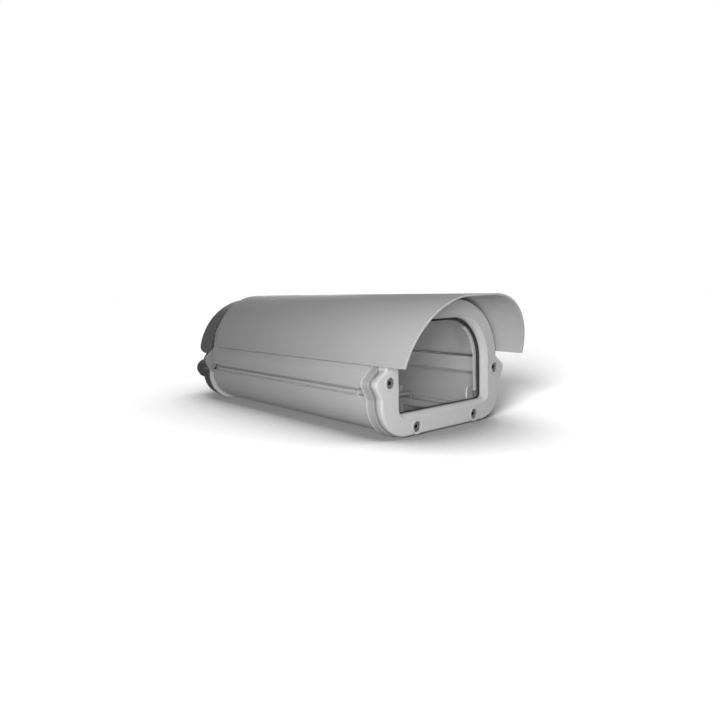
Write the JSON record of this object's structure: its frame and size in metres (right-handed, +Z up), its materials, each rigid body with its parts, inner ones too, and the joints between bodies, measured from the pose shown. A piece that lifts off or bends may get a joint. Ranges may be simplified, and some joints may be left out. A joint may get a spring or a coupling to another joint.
{
  "type": "security camera housing",
  "caption": "Side-opening camera housing: extruded trough with hinged arched cover, cast end caps, flat window, sliding sunshield, inner camera sled and rear cable glands.",
  "frame": {"origin": "on the floor, under the middle of the whole housing", "axes": "+Z up, the window faces -Y, the hinge is on the -X side"},
  "size_m": [0.15, 0.3556, 0.107],
  "materials": {
    "body_paint": "powder coated, smooth",
    "cap_paint": "powder coated casting, fine texture",
    "dark_paint": "painted casting, dark grey",
    "sheet_paint": "powder coated sheet",
    "black_rubber": "matt",
    "stainless": "plain",
    "clear_glass": "clear",
    "plain_aluminium": "bare, satin",
    "grey_plastic": "moulded",
    "brass": "plain",
    "black_nylon": "moulded"
  },
  "bodies": {
    "housing": {"lower_shell": "body_paint", "front_cap": "cap_paint", "front_frame": "cap_paint", "rear_frame": "cap_paint", "rear_cap": "dark_paint", "front_gasket": "black_rubber", "rear_gasket": "black_rubber", "front_arch_seal": "black_rubber", "rear_arch_seal": "black_rubber", "joint_seal": "black_rubber", "front_cap_screws": "stainless", "rear_cap_screws": "stainless", "window_gasket": "black_rubber", "window_glass": "clear_glass", "glass_clips": "stainless", "glass_clip_screws": "stainless", "bracket_plate": "plain_aluminium", "bracket_plate_screws": "stainless", "terminal_block": "grey_plastic", "terminal_screws": "brass", "terminal_block_screws": "stainless", "earth_screw": "brass", "gland_bodies": "black_nylon", "gland_washers": "black_rubber", "gland_locknuts": "black_nylon", "gland_inserts": "black_rubber"},
    "cover": {"upper_shell": "body_paint", "shield_nuts": "plain_aluminium", "shield_screws": "stainless"},
    "shield": {"sunshield": "sheet_paint"},
    "sled": {"camera_sled": "plain_aluminium", "sled_lock_screws": "stainless"},
    "stud": {"camera_screw": "stainless"},
    "front_closing": {"closing_screw_front": "stainless"},
    "rear_closing": {"closing_screw_rear": "stainless"},
    "left_nut": {"gland_nut_left": "black_nylon"},
    "middle_nut": {"gland_nut_middle": "black_nylon"},
    "right_nut": {"gland_nut_right": "black_nylon"}
  },
  "joints": [
    {"name": "cover_hinge", "type": "hinge", "parent": "housing", "child": "cover", "pos_m": [-0.0649, -0.0005, 0.0344], "axis": [0, -1, 0], "range_deg": [0, 95]},
    {"name": "sunshield_slide", "type": "slide", "parent": "cover", "child": "shield", "axis": [0, 1, 0], "range_m": [-0.014, 0.008]},
    {"name": "sled_slide", "type": "slide", "parent": "housing", "child": "sled", "axis": [0, 1, 0], "range_m": [-0.03, 0.03]},
    {"name": "camera_screw_slide", "type": "slide", "parent": "sled", "child": "stud", "axis": [0, 1, 0], "range_m": [-0.03, 0.03]},
    {"name": "closing_screw_front_turn", "type": "hinge", "parent": "cover", "child": "front_closing", "pos_m": [0.071, -0.077, 0.0396], "axis": [0, 0, 1], "continuous": true},
    {"name": "closing_screw_rear_turn", "type": "hinge", "parent": "cover", "child": "rear_closing", "pos_m": [0.071, 0.076, 0.0396], "axis": [0, 0, 1], "continuous": true},
    {"name": "gland_nut_left_turn", "type": "hinge", "parent": "housing", "child": "left_nut", "pos_m": [-0.05, 0.16, 0.0285], "axis": [0, 1, 0], "continuous": true},
    {"name": "gland_nut_middle_turn", "type": "hinge", "parent": "housing", "child": "middle_nut", "pos_m": [0, 0.16, 0.0285], "axis": [0, 1, 0], "continuous": true},
    {"name": "gland_nut_right_turn", "type": "hinge", "parent": "housing", "child": "right_nut", "pos_m": [0.05, 0.16, 0.0285], "axis": [0, 1, 0], "continuous": true}
  ]
}
